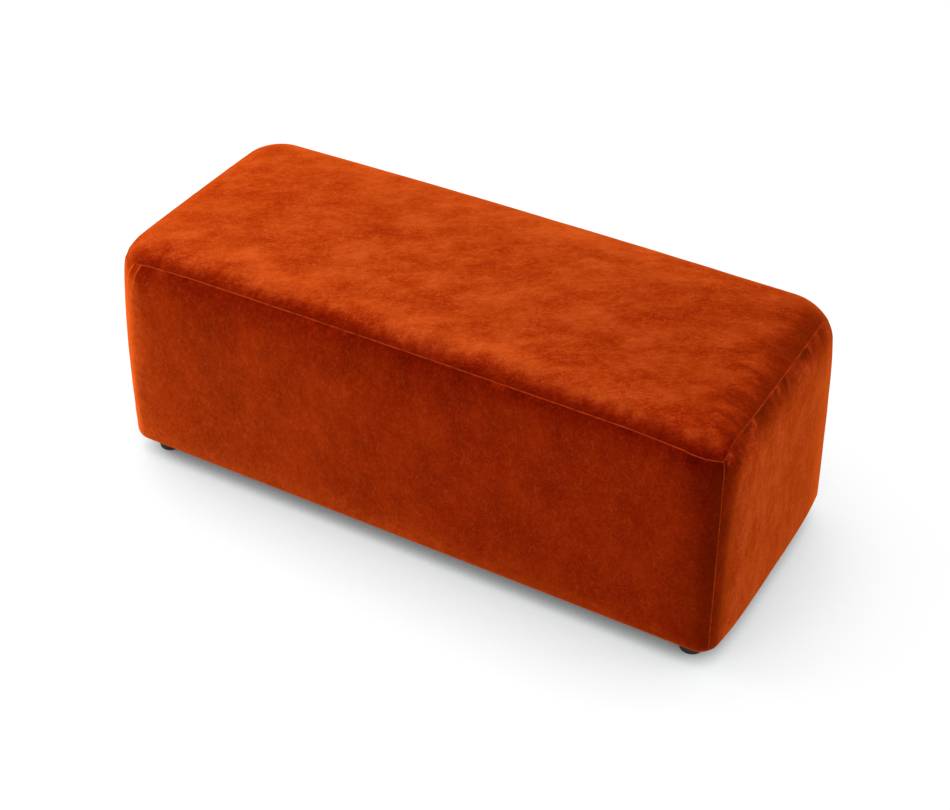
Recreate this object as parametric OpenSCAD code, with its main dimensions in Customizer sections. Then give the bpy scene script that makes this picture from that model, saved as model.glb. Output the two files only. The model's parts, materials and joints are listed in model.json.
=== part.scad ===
// Long upholstered bench: a padded box on a dowelled timber frame, on four round feet.
// The origin is on the floor under the middle of the bench. X runs along its length,
// the front is at -Y, and Z is up.

/* [Bench] */
// Length of the cover at its corners, without the bulge of the ends
bench_l = 1200; // [900:10:1600]
// Depth of the cover from front to back
bench_w = 500; // [420:10:600]
// Height of the seat above the floor, at its edges
seat_h = 468; // [420:2:520]
// Height of the feet
foot_h = 31.2; // [20:0.2:60]

/* [Shape of the padding] */
// Rise of the seat along its length
crown_l = 5; // [0:1:12]
// Further rise of the seat across its depth
crown_w = 7; // [0:1:12]
// Bulge of each end at the seat
end_bow = 7; // [0:1:12]
// Further bulge of each end at the floor
end_lean = 5; // [0:1:8]
// Rounding of the upper edge
top_round = 61; // [50:1:64]
// Rounding of the lower edge, where the cover turns under
bottom_round = 18; // [12:1:22]
// Plan radius of the upright corners near the floor
corner_round = 32; // [28:1:40]
// Plan radius of the upright corners at the seat
seat_corner_round = 86; // [70:1:96]

/* [Cover] */
// Thickness of the velvet with its backing
velvet_t = 1.6; // [1.2:0.1:2.4]
// Top seam on the long sides, in degrees down from the top round the upper edge
top_seam = 52; // [40:1:60]
// Top seam on the ends, in degrees down from the top round the upper edge
end_seam = 46; // [40:1:60]
// Lowest points of the top seam, where it meets the corner seams, in the same degrees
seam_corner = 69; // [60:1:74]
// Corner seams, in degrees round each upright corner from the end
corner_seam = 36; // [25:1:40]
// Depth of the sewn valley along each seam
seam_dip = 1.1; // [0.2:0.1:1.1]
// Half width of that valley round the upper edge
seam_half_w = 5; // [3:0.5:7]
// Gap between two panels at a seam
seam_gap = 0.3; // [0.1:0.1:0.5]
// Width of cover that is turned under the frame
turn_under = 40; // [30:1:46]

/* [Padding] */
// Thickness of the fibre wrap
fibre_t = 6; // [4:0.5:8]
// Thickness of the seat foam at its edge
seat_foam_t = 60; // [56:1:80]
// Thickness of the foam on the front, back and ends
side_foam_t = 15; // [13:0.5:20]
// Thickness of the felt between the springs and the seat foam
felt_t = 2.5; // [1.5:0.5:4]
// Thickness of the side boards
board_t = 3.2; // [2.4:0.2:5]
// Clearance between curved layers
layer_gap = 0.3; // [0.2:0.1:0.5]
// Thickness of the dust cover
dust_t = 0.8; // [0.5:0.1:1.2]
// Distance of the dust cover from the edge of the bench
dust_inset = 24; // [22:1:26]
// Rounding of the corners of the dust cover
dust_round = 20; // [8:1:30]

/* [Frame] */
// Side of the square corner posts
post_w = 45; // [40:1:50]
// Rounding of the outer edge of a corner post
post_round = 12; // [8:1:14]
// Thickness of the rails
rail_t = 22; // [18:1:25]
// Height of the upper rails
top_rail_h = 60; // [50:1:80]
// Height of the lower rails
bottom_rail_h = 60; // [50:1:80]
// Width of the middle posts
mid_post_w = 45; // [40:1:60]
// Distance of the middle posts from the middle of the bench
mid_post_x = 180; // [140:5:240]
// Height of the cross rails
cross_rail_h = 45; // [36:1:55]
// Drop of the upper cross rails below the top of the frame
spreader_drop = 95; // [90:1:110]
// Diameter of the dowels
dowel_d = 8; // [6:1:10]
// Length of the dowels
dowel_l = 40; // [30:1:44]
// Radial clearance of dowels, screws and tie wires in their holes
hole_clear = 0.1; // [0.05:0.05:0.2]

/* [Springs] */
// Number of springs
spring_count = 8; // [5:1:10]
// Distance of the outer springs from the ends of the battens
spring_margin = 90; // [60:5:140]
// Wire diameter
wire_d = 3.8; // [3:0.2:4.2]
// Overall width of a spring
spring_w = 50; // [44:1:56]
// Wanted distance between two bars of a spring
bar_step = 27; // [23:1:30]
// Thickness of the spring battens
batten_t = 20; // [16:1:24]
// Height of the spring battens
batten_h = 40; // [30:1:50]
// Thickness of the clip strip
clip_t = 1; // [0.8:0.1:1.4]
// Width of a clip
clip_w = 12; // [8:1:12]
// Length of a clip's base
clip_l = 15; // [12:1:16]
// Diameter of the tie wires
tie_d = 3; // [2:0.2:4]
// Distance of the tie wires from the middle of the bench
tie_y = 60; // [40:1:120]

/* [Feet] */
// Diameter of a foot at its top
foot_top_d = 45; // [38:1:50]
// Diameter of a foot on the floor
foot_floor_d = 42; // [34:1:46]
// Rounding of a foot's lower edge
foot_round = 2.5; // [1:0.5:4]
// Diameter of the recess for the screw head
foot_recess_d = 14; // [13:0.5:18]
// Depth of the recess for the screw head
foot_recess_h = 14; // [8:0.5:16]

/* [Screws] */
// Diameter of the foot screws
foot_screw_d = 5; // [4:0.5:6]
// Length of the foot screws
foot_screw_l = 60; // [50:1:70]
// Diameter of the frame screws
screw_d = 4; // [3:0.5:5]
// Length of the frame screws
screw_l = 60; // [45:1:70]
// Length of the batten screws
batten_screw_l = 35; // [28:1:38]
// Number of screws in each batten
batten_screw_count = 6; // [3:1:8]
// Distance of the outer batten screws from the ends of the battens
batten_screw_margin = 40; // [25:5:80]

/* [Hidden] */
$fn = 48;

// Heights of the padded body
body_z = foot_h + dust_t;
body_h = seat_h - body_z;
side_z = body_z + bottom_round;
shoulder_z = seat_h - top_round;

// Depths of the layers below the outside of the cover
fibre_out = velvet_t + layer_gap;
fibre_in = fibre_out + fibre_t;
foam_out = fibre_in + layer_gap;
foam_in = foam_out + side_foam_t;
board_out = foam_in + layer_gap;
frame_in = board_out + board_t;

// Heights of the seat layers and the frame
foam_z = seat_h - foam_out - seat_foam_t;
frame_top = foam_z - felt_t;
frame_z = body_z + velvet_t;
frame_h = frame_top - frame_z;

// Half sizes of the frame
frame_x = bench_l / 2 - frame_in;
frame_y = bench_w / 2 - frame_in;
rail_x = frame_x - post_w;
rail_y = frame_y - post_w;
rail_mid_x = frame_x - rail_t / 2;
rail_mid_y = frame_y - rail_t / 2;
inner_y = frame_y - rail_t;
post_mid = post_w / 2;
foot_x = frame_x - post_mid;
foot_y = frame_y - post_mid;
joint_z = [
    frame_z + bottom_rail_h / 4, frame_z + 3 * bottom_rail_h / 4,
    frame_top - 3 * top_rail_h / 4, frame_top - top_rail_h / 4
];
spreader_z = frame_top - spreader_drop - cross_rail_h;
dowel_end_gap = 1;

// Springs, from one batten to the other
clip_clear = 0.1;
wire_r = wire_d / 2;
clip_r = wire_r + clip_clear + clip_t;
batten_top = frame_top - 2 * clip_r - layer_gap;
wire_z = batten_top + clip_r;
clip_span = 2 * inner_y - batten_t;
bar_gaps = round(clip_span / bar_step);
bar_pitch = floor(10 * clip_span / bar_gaps) / 10;
bar_end_y = bar_gaps * bar_pitch / 2;
bend_x = spring_w / 2 - bar_pitch / 2 - wire_r;
spring_x = rail_x - spring_margin;
spring_step = 2 * spring_x / (spring_count - 1);
tie_z = wire_z - wire_r - tie_d / 2 - clip_clear;
tie_seat = 8;

// Screw heads
head_d = 2.2 * screw_d;
head_h = 0.8 * screw_d;
foot_head_d = 2.2 * foot_screw_d;
foot_head_h = 0.6 * foot_screw_d;

// Steps round the outline: one quarter runs from the middle of an end to the middle
// of a long side, over the straight, the corner with its seam, and the straight
END_STEPS = 2;
SEAM_STEP = END_STEPS + 2;
ARC_END = SEAM_STEP + 4;
SIDE_STEPS = 5;
QUARTER = ARC_END + SIDE_STEPS;
RIDGE_END = 2 * QUARTER - ARC_END;
RIDGE = RIDGE_END - ARC_END + 1;
RING = 4 * QUARTER;
min_plan_r = 10;
dip_angle = 9;
arc_rest = 90 - corner_seam - dip_angle;
ARC_ANGLES = [
    [END_STEPS, 0], [SEAM_STEP - 1, corner_seam - dip_angle], [SEAM_STEP, corner_seam],
    [SEAM_STEP + 1, corner_seam + dip_angle], [ARC_END - 2, 90 - 2 * arc_rest / 3],
    [ARC_END - 1, 90 - arc_rest / 3], [ARC_END, 90]
];
seam_step_gap = 0.03;
dip_turn = seam_half_w / top_round * 180 / PI;
gap_turn = seam_gap / 2 / top_round * 180 / PI;

// Kinds of row, from the underside up to the middle of the seat
UNDER = 0;
LOWER_ARC = 1;
SIDE = 2;
UPPER_ARC = 3;
SEAT = 4;
LEVEL = 5;
SIDE_SHARES = [0.4, 0.7, 0.87];
SIDE_ROWS = [for (s = SIDE_SHARES) [SIDE, s]];
ridge_inset = 0.8 * bench_w / 2;

// Rows round the upper edge: an angle, the share of the seam's angle to add, and 1 in a seam
function below_seam(share) = [UPPER_ARC, (1 - share) * dip_turn + share * 90, 1 - share, 0];
function above_seam(share) = [UPPER_ARC, -share * dip_turn, share, 0];
COVER_SIDE_ROWS = concat(
    [[UNDER, turn_under], [LOWER_ARC, 0], [LOWER_ARC, 30], [LOWER_ARC, 60], [LOWER_ARC, 90]],
    SIDE_ROWS,
    [for (i = [3:-1:0]) below_seam(i / 3)],
    [[UPPER_ARC, gap_turn, 1, 1]]
);
COVER_TOP_ROWS = concat(
    [[UPPER_ARC, -gap_turn, 1, 1]],
    [for (i = [4:-1:0]) above_seam(i / 4)],
    [for (share = [0.1, 0.3, 0.55]) [SEAT, top_round + share * (ridge_inset - top_round)]],
    [[SEAT, ridge_inset]]
);
UPPER_LAYER_ROWS = [
    below_seam(1), below_seam(1 / 3), above_seam(3 / 4), above_seam(0), [SEAT, ridge_inset]
];
FIBRE_ROWS = concat([[LOWER_ARC, 60], [LOWER_ARC, 90]], SIDE_ROWS, UPPER_LAYER_ROWS);
SEAT_FOAM_ROWS = concat([[LEVEL, foam_z]], UPPER_LAYER_ROWS);
PAD_ROWS = concat(
    [[LEVEL, side_z]],
    [for (s = SIDE_SHARES) [LEVEL, side_z + s * (shoulder_z - side_z)]],
    [[LEVEL, foam_z - layer_gap]]
);

// Step of the first quarter that a step of the whole outline mirrors
function quarter_step(t) =
    let (s = ((t % RING) + RING) % RING, q = floor(s / QUARTER), f = s - q * QUARTER)
    q % 2 == 0 ? f : QUARTER - f;

// Angle of the top seam on a step: it drops towards the corner seams
SEAM_PATH = [[END_STEPS, end_seam], [SEAM_STEP, seam_corner], [ARC_END + 1, top_seam]];
function arc_turn(t, row) = row[1] + row[2] * lookup(quarter_step(t), SEAM_PATH);

// Distance in from the outline, and height, of a step of a row at a depth below the cover
function row_place(t, row, depth) =
    row[0] == UNDER ? [row[1], body_z + depth]
    : row[0] == LOWER_ARC ? [
        bottom_round - (bottom_round - depth) * sin(row[1]),
        side_z - (bottom_round - depth) * cos(row[1])]
    : row[0] == SIDE ? [depth, side_z + row[1] * (shoulder_z - side_z)]
    : row[0] == UPPER_ARC ? [
        top_round - (top_round - depth) * sin(arc_turn(t, row)),
        shoulder_z + (top_round - depth) * cos(arc_turn(t, row))]
    : row[0] == SEAT ? [row[1], seat_h - depth]
    : [depth, row[1]];

// Point of a rounded rectangle in its first quarter
function quarter_point(t, half_x, half_y, r) =
    t <= END_STEPS ? [half_x, (half_y - r) * t / END_STEPS]
    : t <= ARC_END ? let (a = lookup(t, ARC_ANGLES)) [
        half_x - r + r * cos(a), half_y - r + r * sin(a)]
    : [(half_x - r) * (QUARTER - t) / SIDE_STEPS, half_y];

// Point of the whole outline, anticlockwise from the middle of the right end
function outline_point(t, half_x, half_y, r) =
    let (q = floor((((t % RING) + RING) % RING) / QUARTER))
    let (p = quarter_point(quarter_step(t), half_x, half_y, r))
    q == 0 ? p : q == 1 ? [-p[0], p[1]] : q == 2 ? [-p[0], -p[1]] : [p[0], -p[1]];

// Share of the way up the padded body
function height_share(z) = min(max((z - body_z) / body_h, 0), 1);

// Point of the plain rounded box on step t of a row, at a depth below the cover
function box_point(t, row, depth) =
    let (place = row_place(t, row, depth), inset = place[0], h = height_share(place[1]))
    let (r = corner_round + (seat_corner_round - corner_round) * pow(h, 3) - inset)
    let (p = outline_point(t, bench_l / 2 - inset, bench_w / 2 - inset, max(r, min_plan_r)))
    [p[0], p[1], place[1]];

// The same point with the crown of the seat and the bulge of the ends
function crowned(p, level) =
    let (u = 2 * p[0] / bench_l, v = 2 * p[1] / bench_w, h = height_share(p[2]))
    let (rise = crown_l * (1 - pow(u, 2)) + crown_w * (1 - pow(v, 2)) * (1 - pow(u, 4)))
    let (bulge = (end_bow + end_lean * (1 - h)) * sign(u) * pow(abs(u), 8) * (1 - pow(v, 4)))
    [p[0] + bulge, p[1], p[2] + (level ? 0 : rise * pow(h, 4))];
function skin_point(t, row, depth) = crowned(box_point(t, row, depth), row[0] == LEVEL);

// Points along the middle of a row's area, level with the steps of its long sides
function ridge_points(row, depth) = [
    for (t = [ARC_END:RIDGE_END])
    let (p = box_point(t, row, depth)) crowned([p[0], 0, p[2]], row[0] == LEVEL)
];

// Depth of the seam valley: all along a marked row, and up the corner seams
function row_dip(row) = row[3] == 1 ? seam_dip : 0;
function on_corner_seam(t) = abs(quarter_step(t) - SEAM_STEP) < 2 * seam_step_gap;
function panel_dip(t, row) =
    on_corner_seam(t) && (row[0] >= SIDE || (row[0] == LOWER_ARC && row[1] > 45)) ? seam_dip
    : row_dip(row);

function quad(a, b, c, d) = [[a, b, c], [a, c, d]];
function flat(lists) = [for (part = lists) each part];

// Triangles of a grid of points, with wrap = true where each row closes on itself
function grid_faces(base, rows, steps, wrap, outward) = flat([
    for (i = [0:rows - 2], j = [0:steps - (wrap ? 1 : 2)])
    let (k = (j + 1) % steps, a = base + i * steps, b = a + steps)
    outward ? quad(a + j, b + j, b + k, a + k) : quad(a + j, a + k, b + k, b + j)
]);

// Triangles over a closed row of the ring, up to the ridge points along its middle
function cap_faces(base, ridge, outward) = flat([
    for (j = [0:RING - 1])
    let (a = base + j, b = base + (j + 1) % RING)
    let (c = ridge + nearest_ridge(j), d = ridge + nearest_ridge(j + 1))
    c == d ? [outward ? [a, c, b] : [a, b, c]] : outward ? quad(a, c, d, b) : quad(a, b, d, c)
]);
function nearest_ridge(t) =
    let (s = t > 2 * QUARTER ? RING - t : t) min(max(s, ARC_END), RIDGE_END) - ARC_END;

// Triangles along the edge between an outer and an inner row of points
function edge_faces(outer, inner, steps, wrap, upward) = flat([
    for (j = [0:steps - (wrap ? 1 : 2)])
    let (k = (j + 1) % steps)
    upward ? quad(outer + j, inner + j, inner + k, outer + k)
    : quad(outer + j, outer + k, inner + k, inner + j)
]);

// Triangles up the two upright borders of an open panel
function border_faces(count, rows, steps) = flat([
    for (i = [0:rows - 2])
    let (a = i * steps, b = a + steps, e = steps - 1)
    concat(quad(count + a, count + b, b, a), quad(a + e, b + e, count + b + e, count + a + e))
]);

// Open panel between two grids of points with the same rows and steps
module panel(outer, inner, rows, steps) {
    count = rows * steps;
    last = count - steps;
    polyhedron(
        concat(outer, inner),
        concat(
            grid_faces(0, rows, steps, false, true),
            grid_faces(count, rows, steps, false, false),
            edge_faces(0, count, steps, false, false),
            edge_faces(last, count + last, steps, false, true),
            border_faces(count, rows, steps)
        )
    );
}

// Dome that is open below, between two depths
module dome_shell(rows, outer, inner) {
    count = len(rows) * RING;
    last = count - RING;
    top_row = rows[len(rows) - 1];
    polyhedron(
        concat(
            [for (row = rows, t = [0:RING - 1]) skin_point(t, row, outer + row_dip(row))],
            [for (row = rows, t = [0:RING - 1]) skin_point(t, row, inner)],
            ridge_points(top_row, outer),
            ridge_points(top_row, inner)
        ),
        concat(
            grid_faces(0, len(rows), RING, true, true),
            grid_faces(count, len(rows), RING, true, false),
            edge_faces(0, count, RING, true, false),
            cap_faces(last, 2 * count, true),
            cap_faces(count + last, 2 * count + RIDGE, false)
        )
    );
}

// Solid dome with a flat underside
module dome_solid(rows, depth) {
    count = len(rows) * RING;
    polyhedron(
        concat(
            [for (row = rows, t = [0:RING - 1]) skin_point(t, row, depth)],
            ridge_points(rows[0], depth),
            ridge_points(rows[len(rows) - 1], depth)
        ),
        concat(
            grid_faces(0, len(rows), RING, true, true),
            cap_faces(0, count, false),
            cap_faces(count - RING, count + RIDGE, true)
        )
    );
}

// Steps of a panel from one corner seam to the next
function panel_steps(first, last) =
    [first + seam_step_gap, each [first + 1:last - 1], last - seam_step_gap];
RIGHT_END = panel_steps(-SEAM_STEP, SEAM_STEP);
BACK = panel_steps(SEAM_STEP, 2 * QUARTER - SEAM_STEP);
LEFT_END = panel_steps(2 * QUARTER - SEAM_STEP, 2 * QUARTER + SEAM_STEP);
FRONT = panel_steps(2 * QUARTER + SEAM_STEP, RING - SEAM_STEP);

module cover_side(steps) {
    color("#a8380a")
    panel(
        [for (row = COVER_SIDE_ROWS, t = steps) skin_point(t, row, panel_dip(t, row))],
        [for (row = COVER_SIDE_ROWS, t = steps) skin_point(t, row, velvet_t)],
        len(COVER_SIDE_ROWS), len(steps)
    );
}

module cover_top() {
    color("#c2480f") dome_shell(COVER_TOP_ROWS, 0, velvet_t);
}

module fibre_wrap() {
    color("white") dome_shell(FIBRE_ROWS, fibre_out, fibre_in);
}

module seat_foam() {
    color("#f2e3a0") dome_solid(SEAT_FOAM_ROWS, foam_out);
}

// Foam on one side, from the board to the fibre
function pad_inner_point(t, z) =
    let (r = post_round + board_t + layer_gap)
    let (p = outline_point(t, bench_l / 2 - foam_in, bench_w / 2 - foam_in, r)) [p[0], p[1], z];
module side_foam(steps) {
    color("#f0dca8")
    panel(
        [for (row = PAD_ROWS, t = steps) skin_point(t, row, foam_out)],
        [for (row = PAD_ROWS, t = steps) pad_inner_point(t, row[1])],
        len(PAD_ROWS), len(steps)
    );
}

module round_plate(half_x, half_y, r, t) {
    linear_extrude(t) {
        square([2 * half_x, 2 * (half_y - r)], center = true);
        square([2 * (half_x - r), 2 * half_y], center = true);
        for (sx = [-1, 1], sy = [-1, 1]) {
            translate([sx * (half_x - r), sy * (half_y - r)]) circle(r);
        }
    }
}

module seat_felt() {
    color("dimgray")
    translate([0, 0, frame_top])
    round_plate(frame_x - layer_gap, frame_y - layer_gap, post_round, felt_t);
}

module dust_cover() {
    color("#161616")
    difference() {
        translate([0, 0, foot_h])
        round_plate(bench_l / 2 - dust_inset, bench_w / 2 - dust_inset, dust_round, dust_t);
        for (sx = [-1, 1], sy = [-1, 1]) foot_screw(sx, sy, hole_clear);
    }
}

// Fasteners: with a clearance they are the shapes of their own holes

// Dowel along X, centred on its joint
module dowel(clear) {
    long = dowel_l + (clear > 0 ? 2 * dowel_end_gap : 0);
    rotate([0, 90, 0]) cylinder(d = dowel_d + 2 * clear, h = long, center = true);
}

// Countersunk screw that points along +Y, with its head flush at the origin
module countersunk_screw(length, clear) {
    r = screw_d / 2 + clear;
    head_r = head_d / 2 + clear;
    rotate([-90, 0, 0]) {
        translate([0, 0, head_h]) cylinder(r = r, h = length - head_h + clear);
        cylinder(r1 = head_r, r2 = r, h = head_h);
    }
}

// The eight dowels in one corner post
module post_dowels(sx, sy, clear) {
    for (z = joint_z) {
        translate([sx * rail_x, sy * rail_mid_y, z]) dowel(clear);
        translate([sx * rail_mid_x, sy * rail_y, z]) rotate([0, 0, 90]) dowel(clear);
    }
}

// The four dowels in one middle post
module mid_post_dowels(sx, sy, clear) {
    for (z = [frame_z + bottom_rail_h, frame_top - top_rail_h], side = [-1, 1]) {
        translate([sx * mid_post_x + side * mid_post_w / 4, sy * rail_mid_y, z])
        rotate([0, 90, 0]) dowel(clear);
    }
}

// The two screws in one end of a cross rail that starts at height z
module cross_screws(sx, sy, z, clear) {
    for (share = [1 / 4, 3 / 4]) {
        translate([sx * mid_post_x, sy * frame_y, z + share * cross_rail_h])
        rotate([0, 0, sy > 0 ? 180 : 0])
        countersunk_screw(screw_l, clear);
    }
}

// The screws that hold one spring batten to its rail
module batten_fixing(sy, clear) {
    reach = rail_x - batten_screw_margin;
    for (i = [0:batten_screw_count - 1]) {
        x = -reach + 2 * reach * i / (batten_screw_count - 1);
        translate([x, sy * (inner_y - batten_t), batten_top - batten_h / 2])
        rotate([0, 0, sy > 0 ? 0 : 180])
        countersunk_screw(batten_screw_l, clear);
    }
}

// Pan head screw that holds a foot from below
module foot_screw(sx, sy, clear) {
    r = foot_screw_d / 2;
    tip = foot_screw_d;
    translate([sx * foot_x, sy * foot_y, foot_recess_h]) {
        translate([0, 0, -foot_head_h]) cylinder(d = foot_head_d, h = foot_head_h);
        cylinder(r = r + clear, h = foot_screw_l - tip + clear);
        translate([0, 0, foot_screw_l - tip + clear]) cylinder(r1 = r + clear, r2 = clear + 0.2, h = tip);
    }
}

module frame_dowels() {
    color("#e3c9a0")
    for (sx = [-1, 1], sy = [-1, 1]) {
        post_dowels(sx, sy, 0);
        mid_post_dowels(sx, sy, 0);
    }
}

module frame_screws() {
    color("silver")
    for (sx = [-1, 1], sy = [-1, 1], z = [frame_z, spreader_z]) cross_screws(sx, sy, z, 0);
}

module batten_screws() {
    color("silver") for (sy = [-1, 1]) batten_fixing(sy, 0);
}

module foot_screws() {
    color("silver") for (sx = [-1, 1], sy = [-1, 1]) foot_screw(sx, sy, 0);
}

// Timber frame

module corner_post(sx, sy) {
    color("#d8b98c")
    difference() {
        translate([sx * rail_x, sy * rail_y, frame_z])
        linear_extrude(frame_h)
        mirror([sx < 0 ? 1 : 0, 0])
        mirror([0, sy < 0 ? 1 : 0]) {
            square([post_w, post_w - post_round]);
            square([post_w - post_round, post_w]);
            translate([post_w - post_round, post_w - post_round]) circle(post_round);
        }
        post_dowels(sx, sy, hole_clear);
        foot_screw(sx, sy, hole_clear);
    }
}

// Long rail at the front (-1) or the back (1)
module long_rail(sy, z, h) {
    color("#dcbf94")
    difference() {
        translate([-rail_x, sy > 0 ? inner_y : -frame_y, z]) cube([2 * rail_x, rail_t, h]);
        for (sx = [-1, 1]) {
            post_dowels(sx, sy, hole_clear);
            mid_post_dowels(sx, sy, hole_clear);
            cross_screws(sx, sy, frame_z, hole_clear);
        }
        batten_fixing(sy, hole_clear);
    }
}

// Short rail at the left (-1) or right (1) end
module short_rail(sx, z, h) {
    color("#dcbf94")
    difference() {
        translate([sx > 0 ? frame_x - rail_t : -frame_x, -rail_y, z]) cube([rail_t, 2 * rail_y, h]);
        for (sy = [-1, 1]) post_dowels(sx, sy, hole_clear);
        tie_pair(hole_clear);
    }
}

module mid_post(sx, sy) {
    z = frame_z + bottom_rail_h;
    color("#d8b98c")
    difference() {
        translate([sx * mid_post_x - mid_post_w / 2, sy > 0 ? inner_y : -frame_y, z])
        cube([mid_post_w, rail_t, frame_top - top_rail_h - z]);
        mid_post_dowels(sx, sy, hole_clear);
        cross_screws(sx, sy, spreader_z, hole_clear);
    }
}

module cross_rail(sx, z) {
    color("#d5b585")
    difference() {
        translate([sx * mid_post_x - rail_t / 2, -inner_y, z]) cube([rail_t, 2 * inner_y, cross_rail_h]);
        for (sy = [-1, 1]) cross_screws(sx, sy, z, hole_clear);
    }
}

module spring_batten(sy) {
    color("#d5b585")
    difference() {
        translate([-rail_x, sy > 0 ? inner_y - batten_t : -inner_y, batten_top - batten_h])
        cube([2 * rail_x, batten_t, batten_h]);
        batten_fixing(sy, hole_clear);
    }
}

module long_board(sy) {
    color("#8d5f3a")
    translate([post_round - frame_x, sy > 0 ? frame_y : -frame_y - board_t, frame_z])
    cube([2 * (frame_x - post_round), board_t, frame_h]);
}

module end_board(sx) {
    color("#8d5f3a")
    translate([sx > 0 ? frame_x : -frame_x - board_t, post_round - frame_y, frame_z])
    cube([board_t, 2 * (frame_y - post_round), frame_h]);
}

// Spring deck

// Cross bar of a spring, from x1 to x2 at y
module bar(x1, x2, y) {
    translate([x1, y, 0]) rotate([0, 90, 0]) cylinder(r = wire_r, h = x2 - x1, $fn = 36);
}

// Half turn between two bars, on the right (1) or the left (-1)
module bend(side, y) {
    translate([side * bend_x, y, 0])
    rotate([0, 0, side > 0 ? -90 : 90])
    rotate_extrude(angle = 180)
    translate([bar_pitch / 2, 0]) circle(r = wire_r, $fn = 36);
}

module zigzag_spring() {
    free_end = bend_x + bar_pitch / 3;
    last_side = bar_gaps % 2 == 0 ? -1 : 1;
    bar(-free_end, bend_x, -bar_end_y);
    for (i = [1:bar_gaps - 1]) bar(-bend_x, bend_x, -bar_end_y + i * bar_pitch);
    bar(last_side > 0 ? -free_end : -bend_x, last_side > 0 ? bend_x : free_end, bar_end_y);
    for (i = [0:bar_gaps - 1]) bend(i % 2 == 0 ? 1 : -1, -bar_end_y + (i + 0.5) * bar_pitch);
}

module springs() {
    color("#8f9496")
    for (i = [0:spring_count - 1]) {
        translate([-spring_x + i * spring_step, 0, wire_z]) zigzag_spring();
    }
}

// Steel strip folded round the end bar of a spring and lying on the batten
module spring_clip() {
    rotate([90, 0, 90])
    linear_extrude(clip_w, center = true)
    difference() {
        union() {
            circle(clip_r);
            translate([-clip_l / 2, -clip_r]) square([clip_l, clip_t]);
        }
        circle(wire_r + clip_clear);
    }
}

module spring_clips() {
    color("#b9bcbf")
    for (i = [0:spring_count - 1], sy = [-1, 1]) {
        translate([-spring_x + i * spring_step, sy * bar_end_y, wire_z]) spring_clip();
    }
}

module tie_pair(clear) {
    half = frame_x - rail_t + tie_seat + clear;
    for (sy = [-1, 1]) {
        translate([-half, sy * tie_y, tie_z])
        rotate([0, 90, 0]) cylinder(d = tie_d + 2 * clear, h = 2 * half, $fn = 36);
    }
}

module tie_wires() {
    color("#cdbb90") tie_pair(0);
}

// Foot: a tapered plug with a rounded lower edge and a recess for its screw
module foot(sx, sy) {
    floor_r = foot_floor_d / 2;
    color("#17171a")
    translate([sx * foot_x, sy * foot_y, 0])
    difference() {
        union() {
            translate([0, 0, foot_round])
            cylinder(r1 = floor_r, r2 = foot_top_d / 2, h = foot_h - foot_round);
            rotate_extrude() {
                square([floor_r - foot_round, foot_round]);
                intersection() {
                    translate([floor_r - foot_round, foot_round]) circle(foot_round);
                    square([floor_r, foot_round]);
                }
            }
        }
        translate([0, 0, -1]) cylinder(d = foot_recess_d, h = foot_recess_h + 1);
        cylinder(d = foot_screw_d + 2 * hole_clear, h = foot_h + 1);
    }
}

cover_top();
cover_side(FRONT);  // cover_front
cover_side(BACK);  // cover_back
cover_side(LEFT_END);  // cover_left_end
cover_side(RIGHT_END);  // cover_right_end
fibre_wrap();
seat_foam();
side_foam(FRONT);  // foam_front
side_foam(BACK);  // foam_back
side_foam(LEFT_END);  // foam_left_end
side_foam(RIGHT_END);  // foam_right_end
seat_felt();
springs();
spring_clips();
tie_wires();
spring_batten(-1);  // spring_batten_front
spring_batten(1);  // spring_batten_back
long_board(-1);  // board_front
long_board(1);  // board_back
end_board(-1);  // board_left_end
end_board(1);  // board_right_end
long_rail(-1, frame_top - top_rail_h, top_rail_h);  // top_rail_front
long_rail(1, frame_top - top_rail_h, top_rail_h);  // top_rail_back
short_rail(-1, frame_top - top_rail_h, top_rail_h);  // top_rail_left
short_rail(1, frame_top - top_rail_h, top_rail_h);  // top_rail_right
long_rail(-1, frame_z, bottom_rail_h);  // bottom_rail_front
long_rail(1, frame_z, bottom_rail_h);  // bottom_rail_back
short_rail(-1, frame_z, bottom_rail_h);  // bottom_rail_left
short_rail(1, frame_z, bottom_rail_h);  // bottom_rail_right
corner_post(-1, -1);  // corner_post_front_left
corner_post(1, -1);  // corner_post_front_right
corner_post(-1, 1);  // corner_post_back_left
corner_post(1, 1);  // corner_post_back_right
mid_post(-1, -1);  // mid_post_front_left
mid_post(1, -1);  // mid_post_front_right
mid_post(-1, 1);  // mid_post_back_left
mid_post(1, 1);  // mid_post_back_right
cross_rail(-1, spreader_z);  // spreader_left
cross_rail(1, spreader_z);  // spreader_right
cross_rail(-1, frame_z);  // floor_rail_left
cross_rail(1, frame_z);  // floor_rail_right
frame_dowels();
frame_screws();
batten_screws();
dust_cover();
foot(-1, -1);  // foot_front_left
foot(1, -1);  // foot_front_right
foot(-1, 1);  // foot_back_left
foot(1, 1);  // foot_back_right
foot_screws();
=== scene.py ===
import json
import math
from functools import partial

import bpy
import numpy as np
from mathutils import Matrix, Vector

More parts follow.
